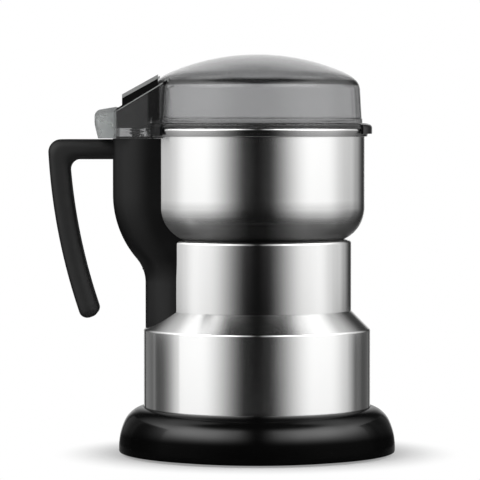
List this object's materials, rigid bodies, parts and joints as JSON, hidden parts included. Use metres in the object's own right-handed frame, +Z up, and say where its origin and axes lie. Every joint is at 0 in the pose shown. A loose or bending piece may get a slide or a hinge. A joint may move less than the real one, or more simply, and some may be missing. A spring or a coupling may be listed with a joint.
{
  "type": "blade coffee grinder",
  "caption": "Electric blade coffee grinder with a moulded base, stepped steel motor body, fixed steel bowl, smoked lid with a sloping press key, and an open-ended handle.",
  "frame": {"origin": "point on the table under the middle of the motor body", "axes": "+Z up along the motor shaft, -X towards the handle, +Y towards the cord inlet at the back"},
  "size_m": [0.1731, 0.1382, 0.1998],
  "materials": {
    "base_black": "satin gloss",
    "handle_black": "satin",
    "key_black": "gloss",
    "inner_plastic": "matt",
    "pale_plastic": "matt",
    "switch_black": "matt",
    "button_red": "matt",
    "rubber": "matt",
    "body_steel": "polished, turned",
    "bowl_steel": "polished",
    "blade_steel": "ground",
    "screw_steel": "bright zinc",
    "spring_steel": "bright wire",
    "laminations": "oiled sheet",
    "copper": "enamelled wire",
    "brass": "bright",
    "bronze": "sintered",
    "carbon": "matt",
    "smoked_lid": "smoked clear",
    "smoked_cap": "smoked clear"
  },
  "bodies": {
    "body": {"base_ring": "base_black", "bottom_cover": "base_black", "foot_ring": "rubber", "cover_screws": "screw_steel", "shell_screws": "screw_steel", "cord_gland": "rubber", "body_shell": "body_steel", "bowl_seat": "inner_plastic", "bowl": "bowl_steel", "bowl_screws": "screw_steel", "shaft_seal": "rubber", "field_core": "laminations", "field_coils": "copper", "upper_bracket": "screw_steel", "lower_bracket": "inner_plastic", "upper_bush": "bronze", "lower_bush": "bronze", "motor_bolts": "screw_steel", "brush_holders": "brass", "carbon_brushes": "carbon", "brush_springs": "spring_steel", "handle": "handle_black", "handle_screws": "screw_steel", "interlock_spring": "spring_steel", "switch_body": "switch_black", "switch_terminals": "brass", "switch_screws": "screw_steel"},
    "rotor": {"motor_shaft": "screw_steel", "armature_core": "laminations", "armature_windings": "copper", "commutator": "copper", "cooling_fan": "pale_plastic", "blade": "blade_steel", "blade_washer": "screw_steel", "blade_nut": "screw_steel"},
    "lid": {"lid_shell": "smoked_lid", "key_springs": "spring_steel"},
    "key": {"press_key": "key_black", "key_cap": "smoked_cap"},
    "interlock": {"interlock_pin": "pale_plastic"},
    "lever": {"switch_lever": "spring_steel"},
    "button": {"switch_button": "button_red"}
  },
  "joints": [
    {"name": "rotor_spin", "type": "hinge", "parent": "body", "child": "rotor", "pos_m": [0, 0, 0.09], "axis": [0, 0, 1], "continuous": true},
    {"name": "lid_lift", "type": "slide", "parent": "body", "child": "lid", "axis": [0, 0, 1], "range_m": [0, 0.11]},
    {"name": "key_press", "type": "slide", "parent": "lid", "child": "key", "axis": [0, 0, -1], "range_m": [0, 0.0025], "stiffness_N_per_m": 800, "springref_m": -0.001, "deforming": ["key_springs"]},
    {"name": "interlock_press", "type": "slide", "parent": "body", "child": "interlock", "axis": [0, 0, -1], "range_m": [0, 0.0025], "deforming": ["interlock_spring"]},
    {"name": "switch_lever_turn", "type": "hinge", "parent": "body", "child": "lever", "pos_m": [-0.0605, 0.0085, 0.1298], "axis": [1, 0, 0], "range_deg": [0, 14.2]},
    {"name": "switch_button_press", "type": "slide", "parent": "body", "child": "button", "axis": [0, 0, -1], "range_m": [0, 0.00055]}
  ],
  "couplings": [
    {"joint": "interlock_press", "follows": "key_press", "ratio": 1},
    {"joint": "switch_lever_turn", "follows": "key_press", "rad_per_m": 98.3},
    {"joint": "switch_button_press", "follows": "key_press", "ratio": 0.2}
  ]
}
